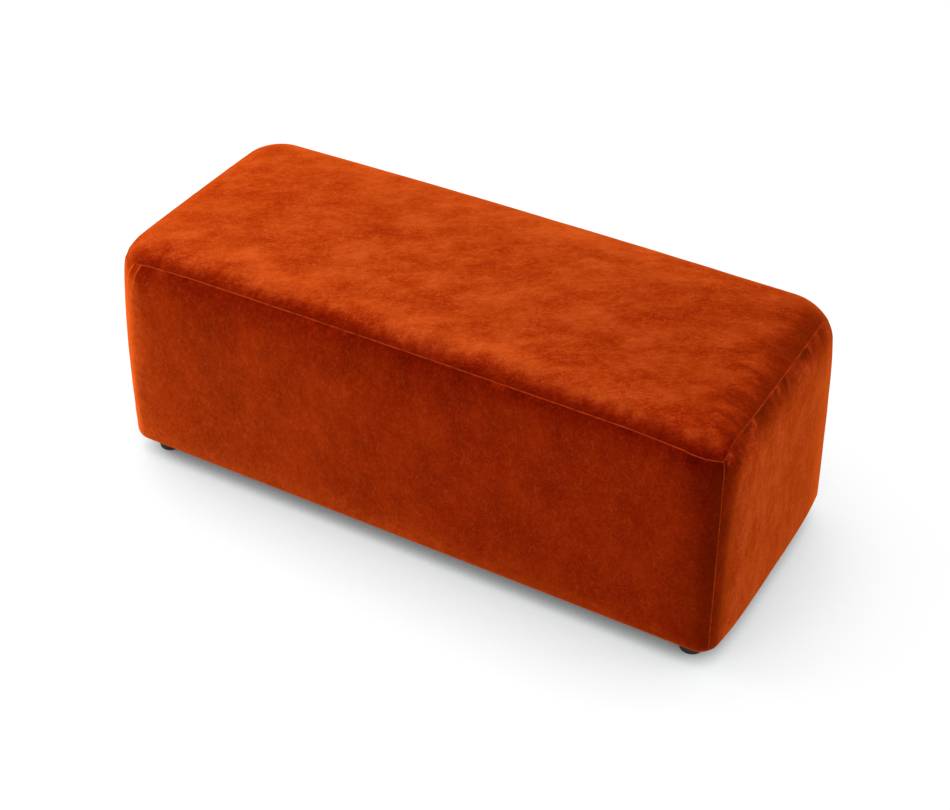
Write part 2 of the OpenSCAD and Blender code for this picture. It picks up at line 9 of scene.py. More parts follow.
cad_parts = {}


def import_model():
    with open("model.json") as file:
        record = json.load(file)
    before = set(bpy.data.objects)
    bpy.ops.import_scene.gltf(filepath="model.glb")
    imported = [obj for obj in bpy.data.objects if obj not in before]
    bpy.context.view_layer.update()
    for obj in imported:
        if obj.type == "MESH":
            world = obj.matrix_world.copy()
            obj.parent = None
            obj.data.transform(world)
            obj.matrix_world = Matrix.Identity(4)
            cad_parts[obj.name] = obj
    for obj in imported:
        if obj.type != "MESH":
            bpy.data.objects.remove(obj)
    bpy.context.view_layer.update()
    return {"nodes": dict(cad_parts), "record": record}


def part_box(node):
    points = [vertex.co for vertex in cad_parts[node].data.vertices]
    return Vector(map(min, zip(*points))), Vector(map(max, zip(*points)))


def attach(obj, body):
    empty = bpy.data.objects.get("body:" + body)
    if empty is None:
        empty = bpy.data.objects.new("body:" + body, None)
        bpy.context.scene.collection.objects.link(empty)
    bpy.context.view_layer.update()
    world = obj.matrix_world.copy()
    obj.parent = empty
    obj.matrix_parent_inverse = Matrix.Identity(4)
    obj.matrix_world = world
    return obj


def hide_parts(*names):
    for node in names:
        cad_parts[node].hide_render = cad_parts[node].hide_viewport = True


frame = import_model()

# Shape of the padded body, as in the part's source
BOW, LEAN = 0.007, 0.005
CROWN_L, CROWN_W = 0.005, 0.007
CROWN_POWER, BULGE_POWER, CORNER_POWER = 4, 8, 3
TOP_R, BOTTOM_R = 0.061, 0.018
CORNER_R, SEAT_CORNER_R, LEAST_R = 0.032, 0.086, 0.010
TURN_UNDER = 0.040
TOP_SEAM, END_SEAM, SEAM_CORNER, CORNER_SEAM = 52.0, 46.0, 69.0, 36.0
END_DROP, SIDE_DROP, DROP_STATION = 2.4, 1.3, 2.2

# Steps of a search, and what is too small to count
HALVINGS, TINY, LEAST_ANGLE, LEAST_NORMAL = 26, 1e-9, 1e-3, 1e-12

# Sizes worked out from the frame
COVER_LOW, COVER_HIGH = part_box("cover_front")[0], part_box("cover_back")[1]
WIDTH = COVER_HIGH.y - COVER_LOW.y
BODY_Z = COVER_LOW.z
SEAT_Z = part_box("cover_top")[1].z - CROWN_L - CROWN_W
BODY_H = SEAT_Z - BODY_Z
SIDE_Z, SHOULDER_Z = BODY_Z + BOTTOM_R, SEAT_Z - TOP_R
LENGTH = 2 * (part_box("cover_right_end")[1].x - BOW - LEAN * (1 - BOTTOM_R / BODY_H))

# Stations round the outline: a quarter has the end's straight from 0 to 1, the corner to 2 and the
# long side's straight to 3. The four quarters mirror each other.
QUARTER = 3.0
SEAM_STATION = 1 + CORNER_SEAM / 90
PANELS = {
    "right_end": (-SEAM_STATION, SEAM_STATION),
    "back": (SEAM_STATION, 2 * QUARTER - SEAM_STATION),
    "left_end": (2 * QUARTER - SEAM_STATION, 2 * QUARTER + SEAM_STATION),
    "front": (2 * QUARTER + SEAM_STATION, 4 * QUARTER - SEAM_STATION),
}


def quarter_station(w):
    """Station in the first quarter, and the signs of x and y, for a station of the whole outline."""
    w = np.mod(w, 4 * QUARTER)
    q = np.floor(w / QUARTER).astype(int)
    s = np.where(q % 2 == 0, w - q * QUARTER, (q + 1) * QUARTER - w)
    return s, np.where((q == 0) | (q == 3), 1.0, -1.0), np.where(q < 2, 1.0, -1.0)


def outline(w, half_x, half_y, r):
    s, sign_x, sign_y = quarter_station(w)
    turn = np.radians(np.clip(s - 1, 0, 1) * 90)
    x = (half_x - r) * (1 - np.clip(s - 2, 0, 1)) + r * np.cos(turn)
    y = (half_y - r) * np.clip(s, 0, 1) + r * np.sin(turn)
    return sign_x * x, sign_y * y


def seam_angle(w):
    """Angle of the top seam, in degrees down from the top: it drops towards the corner seams."""
    s = quarter_station(w)[0]
    on_end = np.clip((s - 1) / (SEAM_STATION - 1), 0, 1)
    on_side = np.clip(1 - (s - SEAM_STATION) / (DROP_STATION - SEAM_STATION), 0, 1)
    return np.where(
        s < SEAM_STATION,
        END_SEAM + (SEAM_CORNER - END_SEAM) * on_end**END_DROP,
        TOP_SEAM + (SEAM_CORNER - TOP_SEAM) * on_side**SIDE_DROP,
    )


def plan_radius(z, inset):
    share = np.clip((z - BODY_Z) / BODY_H, 0, 1)
    return np.maximum(CORNER_R + (SEAT_CORNER_R - CORNER_R) * share**CORNER_POWER - inset, LEAST_R)


def crowned(x, y, z):
    """Adds the crown of the seat and the bulge of the ends."""
    u, v = 2 * x / LENGTH, 2 * y / WIDTH
    h = np.clip((z - BODY_Z) / BODY_H, 0, 1)
    rise = CROWN_L * (1 - u**2) + CROWN_W * (1 - v**2) * (1 - u**CROWN_POWER)
    bulge = (BOW + LEAN * (1 - h)) * np.sign(u) * np.abs(u) ** BULGE_POWER * (1 - v**CROWN_POWER)
    return np.stack([x + bulge, y, z + rise * h**CROWN_POWER], -1)


def arc_place(angle):
    """Inset and height on the upper edge's arc."""
    turn = np.radians(angle)
    return TOP_R - TOP_R * np.sin(turn), SHOULDER_Z + TOP_R * np.cos(turn)


def ring_points(w, inset, z):
    x, y = outline(w, LENGTH / 2 - inset, WIDTH / 2 - inset, plan_radius(z, inset))
    return crowned(x, y, z)


# Rows of a side panel are measured as a length up from the turned-under edge
UNDER_L = TURN_UNDER - BOTTOM_R
LOWER_L = UNDER_L + BOTTOM_R * math.pi / 2
SIDE_L = LOWER_L + SHOULDER_Z - SIDE_Z


def side_place(w, v):
    """Inset and height at a share v of a column's own length, and what is left of it to the top seam."""
    arc = np.radians(90 - seam_angle(w)) * TOP_R
    up = v * (SIDE_L + arc)
    under = np.clip(up, 0, UNDER_L)
    lower = np.clip((up - UNDER_L) / BOTTOM_R, 0, math.pi / 2)
    side = np.clip(up - LOWER_L, 0, SIDE_L - LOWER_L)
    upper = np.clip((up - SIDE_L) / TOP_R, 0, None)
    on_side = np.where(up <= SIDE_L, BOTTOM_R - BOTTOM_R * np.sin(lower), TOP_R - TOP_R * np.cos(upper))
    inset = np.where(up <= UNDER_L, TURN_UNDER - under, on_side)
    low_z = SIDE_Z - BOTTOM_R * np.cos(lower) + side
    z = np.where(up <= SIDE_L, low_z, SHOULDER_Z + TOP_R * np.sin(upper))
    return inset, z, SIDE_L + arc - up


def side_panel(name, us, vs):
    """Points, distance below the top seam, and distances from the first and the last corner seam."""
    first, last = PANELS[name]
    w, v = np.meshgrid(first + (last - first) * us, vs, indexing="ij")
    inset, z, below = side_place(w, v)
    points = ring_points(w, inset, z)
    steps = np.linalg.norm(np.diff(points, axis=0), axis=-1)
    along = np.concatenate([np.zeros((1, len(vs))), np.cumsum(steps, axis=0)])
    return points, below, along, along[-1] - along


def outside(x, y, angle):
    """Signed distance of a plan point from the outline of one row of the arc."""
    inset, z = arc_place(angle)
    r = plan_radius(z, inset)
    dx = np.abs(x) - (LENGTH / 2 - inset - r)
    dy = np.abs(y) - (WIDTH / 2 - inset - r)
    return np.hypot(np.maximum(dx, 0), np.maximum(dy, 0)) + np.minimum(np.maximum(dx, dy), 0) - r


def arc_angle(x, y):
    """Angle down the upper edge's arc at a plan point, 0 on the seat."""
    low, high = np.zeros_like(x), np.full_like(x, 90.0)
    for _ in range(HALVINGS):
        mid = (low + high) / 2
        beyond = outside(x, y, mid) > 0
        low, high = np.where(beyond, mid, low), np.where(beyond, high, mid)
    return (low + high) / 2


def station_at(x, y, angle):
    """Station of a plan point on its own row, in the first quarter. Inside, it is the nearer side's."""
    inset, z = arc_place(angle)
    r = plan_radius(z, inset)
    ax, ay = np.abs(x), np.abs(y)
    straight_x, straight_y = LENGTH / 2 - inset - r, WIDTH / 2 - inset - r
    turn = np.degrees(np.arctan2(np.maximum(ay - straight_y, 0), np.maximum(ax - straight_x, TINY)))
    end = np.clip(ay / straight_y, 0, 1)
    side = np.clip(1 - ax / straight_x, 0, 1)
    corner = (ax > straight_x) & (ay > straight_y)
    return np.where(corner, 1 + turn / 90, np.where(ay - straight_y > ax - straight_x, 2 + side, end))


def top_panel(us, vs):
    """Points, distance in from the top seam, and stations. The plan is blended in from the seam all round,
    and heights come from the arc."""

    def seam_curve(first, last, shares):
        w = first + (last - first) * shares
        inset, z = arc_place(seam_angle(w))
        return np.stack(outline(w, LENGTH / 2 - inset, WIDTH / 2 - inset, plan_radius(z, inset)), -1)

    front = seam_curve(*PANELS["front"], us)
    back = seam_curve(*PANELS["back"][::-1], us)
    left = seam_curve(*PANELS["left_end"][::-1], vs)
    right = seam_curve(*PANELS["right_end"], vs)
    u, v = us[:, None, None], vs[None, :, None]
    blend = (1 - v) * front[:, None] + v * back[:, None] + (1 - u) * left[None] + u * right[None]
    corners = (
        (1 - u) * (1 - v) * front[0] + u * (1 - v) * front[-1] + (1 - u) * v * back[0] + u * v * back[-1]
    )
    plan = blend - corners
    x, y = plan[..., 0], plan[..., 1]
    angle = arc_angle(x, y)
    on_arc = angle > LEAST_ANGLE
    z = np.where(on_arc, arc_place(angle)[1], SEAT_Z)
    w = station_at(x, y, angle)
    seam = seam_angle(w)
    above = np.where(on_arc, np.radians(seam - angle) * TOP_R, np.radians(seam) * TOP_R)
    above = np.maximum(above + np.where(on_arc, 0, -outside(x, y, 0 * x)), 0)
    return crowned(x, y, z), above, w


# Seeded noise and spacing

TABLE_SIZE = 256


def noise_table(seed):
    return np.random.RandomState(seed).uniform(-1, 1, (TABLE_SIZE, TABLE_SIZE))


def noise(table, a, b):
    """Smooth value noise with one lattice step per unit of a and b. A number added to either reads another
    part of the table, so that two fields don't repeat each other."""
    ia, ib = np.floor(a).astype(int), np.floor(b).astype(int)
    fa, fb = a - ia, b - ib
    fa, fb = fa * fa * (3 - 2 * fa), fb * fb * (3 - 2 * fb)

    def at(i, j):
        return table[i % TABLE_SIZE, j % TABLE_SIZE]

    low = at(ia, ib) * (1 - fa) + at(ia + 1, ib) * fa
    high = at(ia, ib + 1) * (1 - fa) + at(ia + 1, ib + 1) * fa
    return low * (1 - fb) + high * fb


def spaced(length, step, fine, reach, both=True):
    """Shares from 0 to 1 with steps that shrink to fine within reach of the last end, or of both."""
    at = [0.0]
    while at[-1] < length:
        left = length - at[-1]
        near = min(at[-1], left) if both else left
        at.append(at[-1] + fine + (step - fine) * min(near / reach, 1))
    at = np.array(at)
    return at / at[-1]


# Cover

# Seams: depth and width of the dip, the allowance turned in behind it, the shape of the dip and its swell,
# and how far from a seam the folds and the slow waves set in
SEAM_DEPTH, LIP, ALLOWANCE = 0.0009, 0.0018, 0.004
DIP_FALL, SWELL, SWELL_FALL = 1.3, 0.4, 0.6
SEAM_CLEAR, SETTLED = 0.003, 0.03
# Painted shade in the groove beside the stitching: how dark, and how far it reaches
GROOVE_SHADE, GROOVE_SHADE_REACH = 0.10, 0.0035
WAVE_HEIGHT, SMALL_WAVE_SHARE = 0.0006, 0.5
WAVE_SIZE, SMALL_WAVE_SIZE = (0.11, 0.09), (0.05, 0.045)

# Gathers across a seam. Pairs of lengths are along the seam and away from it.
PUCKER_STEP, PUCKER_HEIGHT = 0.0095, 0.0008
DRIFT, DRIFT_SIZE = 0.35, (0.05, 0.02)
FINE_SHARE, FINE_REACH = 0.65, 0.045
COARSE_SHARE, COARSE_SIZE = 0.5, (2.7 * PUCKER_STEP, 0.06)
STRENGTH, STRENGTH_VARIES, STRENGTH_STEP = 0.55, 0.45, 0.045
REACH_VARIES, REACH_STEP, PUCKER_FALL = 0.45, 0.018, 1.4
PLEAT_AT, PLEAT_HEIGHT, PLEAT_W, PLEAT_L, PLEAT_SLANT = (0.044, 0.063), 0.0016, 0.0030, 0.034, 0.3

# Pressed pile with painted shade beside a seam: how much, how far from the seam, how sharply it ends and how
# ragged its edge is. A share below 0 is brushed-up pile with painted highlight instead.
LEAST_REACH, RAGGED_SHARE, RAGGED_STEP = 0.3, 0.8, 0.075
CORNER_RAGGED = 0.10
# Painted shade where a corner seam's share is above 0 and painted highlight where it is below 0, first and
# last corner of each panel
CORNER_SHADE_AND_HIGHLIGHT = {
    "front": ((-1.12, 0.042, 2.0), (0.80, 0.064, 1.3)),
    "back": ((-0.45, 0.042, 3.0), (0.60, 0.050, 1.2)),
    "right_end": ((0.83, 0.052, 2.9), (-1.35, 0.062, 2.0)),
    "left_end": ((0.60, 0.045, 1.9), (-0.30, 0.040, 1.6)),
}


def smooth_step(x):
    x = np.clip(x, 0, 1)
    return x * x * (3 - 2 * x)


def fades(distance, reach, power=2):
    """1 at no distance, about a third at the reach, and nothing well past it."""
    return np.exp(-((distance / reach) ** power))


def off_seam(distance):
    """0 on a seam and 1 from a little beside it."""
    return np.clip(distance / SEAM_CLEAR, 0, 1)


def seam_dip(distance):
    """Fabric rolling into a seam, with a faint swell behind the lip."""
    x = distance / LIP
    return SEAM_DEPTH * (SWELL * x**2 * np.exp(-SWELL_FALL * x**2) - np.exp(-DIP_FALL * x**2))


def groove_shade(distance):
    """Painted shade in the groove right beside the stitching."""
    return GROOVE_SHADE * fades(distance, GROOVE_SHADE_REACH)


def gathers(table, along, distance):
    """Fine ridges across a seam, from -1 to 1."""
    drift = DRIFT * noise(table, along / DRIFT_SIZE[0], distance / DRIFT_SIZE[1] + 9)
    return noise(table, along / PUCKER_STEP + drift, distance / FINE_REACH)


def puckers(table, along, distance, reach, height):
    """Gathers of uneven height and length, with coarser ones among them."""
    fine = gathers(table, along, distance)
    coarse = noise(table, along / COARSE_SIZE[0] + 40, distance / COARSE_SIZE[1] + 5)
    strength = STRENGTH + STRENGTH_VARIES * noise(table, along / STRENGTH_STEP + 80, 0 * along)
    long = reach * (1 + REACH_VARIES * noise(table, along / REACH_STEP + 120, 0 * along))
    fade = fades(distance, long, PUCKER_FALL) * off_seam(distance)
    return height * strength * fade * (FINE_SHARE * fine + COARSE_SHARE * coarse)


def shaded_band(table, along, distance, share, reach, power, ragged):
    """Pressed pile and painted shade by a seam, brushed pile and painted highlight below 0; edge feathered
    by the gathers.
    """
    patches = RAGGED_SHARE * noise(table, along / RAGGED_STEP + 33, 0 * along)
    uneven = ragged * (gathers(table, along, distance) + patches)
    return share * fades(distance, reach * np.maximum(1 + uneven, LEAST_REACH), power)


def pleats(from_corner, below):
    """Small folds that start at the upper seam near a corner and slant towards it, from 0 to 1."""
    place = from_corner + PLEAT_SLANT * below
    ridges = sum(fades(place - at, PLEAT_W) for at in PLEAT_AT)
    return ridges * fades(below, PLEAT_L) * off_seam(below)


def waviness(table, a, b):
    """Slow waves of the cloth over its padding."""
    slow = noise(table, a / WAVE_SIZE[0], b / WAVE_SIZE[1])
    small = noise(table, a / SMALL_WAVE_SIZE[0] + 60, b / SMALL_WAVE_SIZE[1] + 60)
    return WAVE_HEIGHT * (slow + SMALL_WAVE_SHARE * small)


def grid_normals(points):
    du = np.gradient(points, axis=0)
    dv = np.gradient(points, axis=1)
    n = np.cross(du, dv)
    return n / np.maximum(np.linalg.norm(n, axis=-1, keepdims=True), LEAST_NORMAL)


def linked(name, data):
    obj = bpy.data.objects.new(name, data)
    bpy.context.collection.objects.link(obj)
    return obj


def mesh_object(name, points, faces, attributes=()):
    mesh = bpy.data.meshes.new(name)
    mesh.from_pydata(points.reshape(-1, 3).tolist(), [], faces)
    mesh.polygons.foreach_set("use_smooth", np.ones(len(mesh.polygons), dtype=bool))
    for label, values in attributes:
        data = mesh.attributes.new(label, "FLOAT", "POINT").data
        data.foreach_set("value", values.ravel().astype(np.float32))
    mesh.update()
    return linked(name, mesh)


def grid_faces(rows, cols):
    i, j = np.meshgrid(np.arange(rows - 1), np.arange(cols - 1), indexing="ij")
    a = i * cols + j
    return np.stack([a, a + cols, a + cols + 1, a + 1], -1).reshape(-1, 4).tolist()


def resample(grid, new_us, new_vs):
    """A field given with its shares, read at others."""
    us, vs, field = grid
    mid = np.stack([np.interp(new_us, us, field[:, j]) for j in range(len(vs))], 1)
    return np.stack([np.interp(new_vs, vs, mid[i]) for i in range(len(new_us))], 0)


# Cloth: each panel is pinned along its edges and blown up a little

CLOTH_START, START_REACH, CLOTH_CAP, CLOTH_STEP, CLOTH_FRAMES = 0.002, 0.04, 0.005, 0.009, 20
PAD_SHARE = 0.4
CLOTH = {
    "vertex_group_mass": "pins",
    "use_pressure": True,
    "uniform_pressure_force": 4,
    "tension_stiffness": 40,
    "compression_stiffness": 40,
    "shear_stiffness": 20,
    "bending_stiffness": 2,
    "shrink_min": -0.004,
}


def billow(name, form, size_u, size_v):
    """Outward movement of a panel's fabric, as a grid over its shares. The padding behind it keeps it from
    falling in, and holds back part of its swell."""
    us = np.linspace(0, 1, int(size_u / CLOTH_STEP))
    vs = np.linspace(0, 1, int(size_v / CLOTH_STEP))
    points = form(us, vs)[0]
    normals = grid_normals(points)
    edge = np.minimum(np.minimum(us, 1 - us)[:, None] * size_u, np.minimum(vs, 1 - vs)[None] * size_v)
    start = points - normals * (CLOTH_START * np.clip(edge / START_REACH, 0, 1))[..., None]
    obj = mesh_object("cloth_" + name, start, grid_faces(len(us), len(vs)))
    pins = obj.vertex_groups.new(name="pins")
    pins.add(np.flatnonzero(edge.ravel() < TINY).tolist(), 1.0, "REPLACE")
    cloth = obj.modifiers.new("cloth", "CLOTH")
    for key, value in CLOTH.items():
        setattr(cloth.settings, key, value)
    cloth.settings.effector_weights.gravity = 0
    cloth.point_cache.frame_end = CLOTH_FRAMES
    for step in range(1, CLOTH_FRAMES + 1):
        bpy.context.scene.frame_set(step)
    shown = obj.evaluated_get(bpy.context.evaluated_depsgraph_get()).to_mesh()
    blown = np.zeros(len(shown.vertices) * 3)
    shown.vertices.foreach_get("co", blown)
    bpy.data.objects.remove(obj)
    moved = ((blown.reshape(points.shape) - points) * normals).sum(-1)
    bpy.context.scene.frame_set(1)
    return us, vs, PAD_SHARE * CLOTH_CAP * np.tanh(np.maximum(moved, 0) / CLOTH_CAP)


def tucked(points, normals, layers, edges):
    """Adds the seam allowances, turned inwards along the named edges, and carries the layers along."""

    def widened(grid, row):
        return np.concatenate((row, grid) if at == 0 else (grid, row), axis)

    for edge in edges:
        axis, at = (0, 1)[edge[0] == "v"], (0, -1)[edge.endswith("last")]
        out = np.take(normals, [at], axis)
        points = widened(points, np.take(points, [at], axis) - out * ALLOWANCE)
        normals = widened(normals, out)
        layers = [widened(x, np.take(x, [at], axis)) for x in layers]
    return points, layers


def velvet_panel(name, points, shift, lay_and_painted_light, painted_seam_highlight, edges):
    """Mesh of a panel, moved out by shift, with the pile's lay carrying painted shade and highlights, and
    its seams' painted highlight.
    """
    normals = grid_normals(points)
    points, (lay_and_painted_light, painted_seam_highlight) = tucked(points + normals * shift[..., None], normals, [lay_and_painted_light, painted_seam_highlight], edges)
    attributes = (("lay_and_painted_light", lay_and_painted_light), ("painted_seam_highlight", painted_seam_highlight))
    return mesh_object("velvet_" + name, points, grid_faces(*points.shape[:2]), attributes)


# The columns and rows of a panel's mesh: the usual step, the step in a seam, and how far from the seam
# the steps shrink. Then what a panel has less at its corners, more on the roll, and less between its seams.
SIDE_COLUMNS, SIDE_ROWS = (0.0024, 0.0004, 0.012), (0.0040, 0.0004, 0.030)
TOP_COLUMNS, TOP_ROWS = (0.0026, 0.0004, 0.014), (0.0030, 0.0004, 0.014)
CORNERS_L, ROLL_L, SEAMS_W = 0.09, 0.04, 0.06

# Gathers at the upper seam: reach and height, how much higher near a corner, and how strongly their ridges
# are painted lighter and their hollows painted darker. Then reach and height of those at the corner seams
# and on the seat.
END_GATHERS, SIDE_GATHERS = (0.030, 2.4 * PUCKER_HEIGHT, 0, 2.5), (0.014, PUCKER_HEIGHT, 0.8, 0.6)
NEAR_CORNER = 0.03
CORNER_PUCKERS, SEAT_PUCKERS = (0.010, 0.5 * PUCKER_HEIGHT), (0.010, 0.55 * PUCKER_HEIGHT)
EDGE_CLEAR, EDGE_FADE = 0.004, 0.02

# Pressed pile with painted shade under the upper seam; how the first corner's band narrows upwards
END_SEAM_SHADE, SIDE_SEAM_SHADE = (0.72, 0.040, 2.2, 0.85), (0.60, 0.040, 1.0, 0.30)
NARROW_FROM, NARROW_BY = 1.55, 1.8
# Painted highlight along the bottom edge: on the ends, on the long sides, how much less past a length from
# the first corner seam and over what length, and how far up it reaches
LOW_HIGHLIGHT_END, LOW_HIGHLIGHT_SIDE, LOW_LESS, LOW_FROM, LOW_OVER, LOW_REACH = 0.14, 0.30, 0.18, 0.5, 0.6, 0.045
# Painted highlight on the pleats, and painted highlight fading out from the first corner seam of the long
# sides
FOLD_HIGHLIGHT, FIRST_CORNER_HIGHLIGHT, LEFT_REACH = 0.7, 0.16, 0.9
# Painted highlight along the seams: width under the upper seam, where it starts from the first corner seam,
# and its share and width along the corner seams
LINE_W, LINE_START, CORNER_LINE, CORNER_LINE_W = 0.0013, 0.09, 0.7, 0.0010

# Pressed pile with painted shade beside the top's seams, darker at the right end than at the left
TOP_SIDE_SHADE = (0.68, 0.0210, 2.6, 0.30)
TOP_RIGHT_SHADE, TOP_LEFT_SHADE, TOP_END_SHADE, END_BLEND = 0.60, 0.20, (0.048, 1.8, 0.60), 0.10
# Painted highlight on the roll above the long sides' seams, partly brushed pile, in patches; painted shade
# that grows towards the right of the seat
RIDGE_HIGHLIGHT, RIDGE_HIGHLIGHT_AT, RIDGE_HIGHLIGHT_W, RIDGE_HIGHLIGHT_BLEND = 0.85, 0.059, 0.038, 0.12
PATCH, PATCH_SIZE, RIGHTWARD_SHADE = 0.25, 0.05, 0.17


def velvet_side(name, seed):
    """The front, the back or an end, with its gathers, and on the long sides the pleats."""
    is_end = name.endswith("end")
    reach, ridge, at_corner, ridge_light_and_shade = END_GATHERS if is_end else SIDE_GATHERS
    size_u, size_v = (WIDTH if is_end else LENGTH) - CORNERS_L, SIDE_L + ROLL_L
    us = spaced(size_u, *SIDE_COLUMNS)
    vs = spaced(size_v, *SIDE_ROWS, both=False)
    moved = resample(billow(name, partial(side_panel, name), size_u, size_v), us, vs)
    points, below, from_first, from_last = side_panel(name, us, vs)
    table = noise_table(seed)
    corner = np.minimum(from_first, from_last)
    height = points[..., 2]
    up_side = smooth_step((height - BODY_Z - EDGE_CLEAR) / EDGE_FADE)
    settled = smooth_step(below / SETTLED) * smooth_step(corner / SETTLED) * up_side
    near_corner = 1 + at_corner * fades(corner, NEAR_CORNER, power=1)
    shift = moved + seam_dip(below) + seam_dip(corner) * up_side
    gathered = puckers(table, from_first, below, reach, ridge * near_corner)
    shift += gathered
    shift += puckers(table, height + 0.7, corner, *CORNER_PUCKERS) * up_side
    shift += waviness(table, from_first, height) * settled
    # Pressed pile with painted shade under the upper seam, and painted shade and highlight at the corner
    # seams
    top_seam_shade = shaded_band(table, from_first, below, *(END_SEAM_SHADE if is_end else SIDE_SEAM_SHADE))
    narrowing = np.maximum(NARROW_FROM - NARROW_BY * height, 1)
    first_shade_and_highlight, last_shade_and_highlight = CORNER_SHADE_AND_HIGHLIGHT[name]
    first_corner_shading = shaded_band(table, height + 5, from_first * narrowing, *first_shade_and_highlight, CORNER_RAGGED)
    last_corner_shading = shaded_band(table, height + 9, from_last, *last_shade_and_highlight, CORNER_RAGGED)
    lay_and_painted_light = 1 - (1 - top_seam_shade) * (1 - first_corner_shading) * (1 - last_corner_shading) * (1 - groove_shade(below))
    # Painted highlight along the bottom edge; painted highlight on the gathers' ridges and painted shade in
    # their hollows
    low = LOW_HIGHLIGHT_END if is_end else LOW_HIGHLIGHT_SIDE - LOW_LESS * smooth_step((from_first - LOW_FROM) / LOW_OVER)
    lay_and_painted_light -= low * fades(height - BODY_Z, LOW_REACH) + ridge_light_and_shade * gathered / ridge
    # Painted highlight along the upper seam and the corner seams
    top_seam_highlight = fades(below, LINE_W)
    if not is_end:
        folds = pleats(from_first, below)
        shift += PLEAT_HEIGHT * folds
        # Painted highlight on the pleats and towards the first corner seam
        lay_and_painted_light -= FOLD_HIGHLIGHT * folds + FIRST_CORNER_HIGHLIGHT * (1 - smooth_step(from_first / LEFT_REACH))
        top_seam_highlight *= smooth_step(from_first / LINE_START)
    painted_seam_highlight = np.maximum(top_seam_highlight, CORNER_LINE * fades(corner, CORNER_LINE_W) * up_side)
    return velvet_panel(name, points, shift, lay_and_painted_light, painted_seam_highlight, ("u_first", "u_last", "v_last"))


def velvet_top(seed):
    """The seat's panel, which rolls over the upper edge to its seam."""
    size_u, size_v = LENGTH - CORNERS_L, WIDTH - SEAMS_W
    us = spaced(size_u, *TOP_COLUMNS)
    vs = spaced(size_v, *TOP_ROWS)
    moved = resample(billow("top", top_panel, size_u, size_v), us, vs)
    points, above, station = top_panel(us, vs)
    table = noise_table(seed)
    x, y = points[..., 0], points[..., 1]
    along = round_trip(x, y, station)
    nearer_side = (LENGTH / 2 - np.abs(x)) - (WIDTH / 2 - np.abs(y))
    on_end = 1 - smooth_step(0.5 + nearer_side / END_BLEND)
    shift = moved + seam_dip(above)
    shift += puckers(table, along, above, *SEAT_PUCKERS)
    shift += waviness(table, x + 1, y + 1) * smooth_step(above / SETTLED)
    # Pressed pile with painted shade beside the seams
    sides_shade = shaded_band(table, along, above, *TOP_SIDE_SHADE)
    ends_shade = shaded_band(table, along, above, np.where(x > 0, TOP_RIGHT_SHADE, TOP_LEFT_SHADE), *TOP_END_SHADE)
    patches = PATCH + PATCH * noise(table, along / PATCH_SIZE + 12, above / PATCH_SIZE)
    # Painted highlight on the roll, partly brushed pile, and painted shade growing towards the right
    roll = RIDGE_HIGHLIGHT * fades(above - RIDGE_HIGHLIGHT_AT, RIDGE_HIGHLIGHT_W)
    brushed_and_highlight = roll * patches * smooth_step(nearer_side / RIDGE_HIGHLIGHT_BLEND)
    rightward_shade = RIGHTWARD_SHADE * smooth_step(2 * x / LENGTH)
    lay_and_painted_light = on_end * ends_shade + (1 - on_end) * (sides_shade - brushed_and_highlight) + rightward_shade
    lay_and_painted_light += (1 - lay_and_painted_light) * groove_shade(above)
    return velvet_panel("top", points, shift, lay_and_painted_light, 0 * above, ("u_first", "u_last", "v_first", "v_last"))


def round_trip(x, y, station):
    """Length along the outline from the middle of the right end, one way along the front and the other
    along the back, so that it has no jump but at the middle of the left end."""
    parts = (WIDTH / 2 - SEAT_CORNER_R, SEAT_CORNER_R * math.pi / 2, LENGTH / 2 - SEAT_CORNER_R)
    length = sum(part * np.clip(station - i, 0, 1) for i, part in enumerate(parts))
    return np.sign(-y) * np.where(x > 0, length, 2 * sum(parts) - length) + 10


# Materials


class Nodes:
    """A node tree with short ways to add to it."""

    def __init__(self, tree):
        self.tree = tree

    def node(self, kind, **settings):
        made = self.tree.nodes.new(kind)
        for key, value in settings.items():
            if key in made.inputs:
                made.inputs[key].default_value = value
            else:
                setattr(made, key, value)
        return made

    def link(self, output, target):
        self.tree.links.new(output, target)

    def math(self, kind, a, b, clamp=False):
        made = self.node("ShaderNodeMath", operation=kind, use_clamp=clamp)
        for socket, value in zip(made.inputs, (a, b)):
            if isinstance(value, (int, float)):
                socket.default_value = value
            else:
                self.link(value, socket)
        return made.outputs[0]

    def split_rays(self, others, seen, output):
        """One shader for what is seen straight, mirrored or through glass, and one for all other rays."""
        path = self.node("ShaderNodeLightPath").outputs
        rays = self.math("ADD", path["Is Camera Ray"], path["Is Glossy Ray"])
        mix = self.node("ShaderNodeMixShader")
        self.link(self.math("ADD", rays, path["Is Transmission Ray"]), mix.inputs["Fac"])
        self.link(others.outputs[0], mix.inputs[1])
        self.link(seen.outputs[0], mix.inputs[2])
        self.link(mix.outputs[0], output.inputs["Surface"])


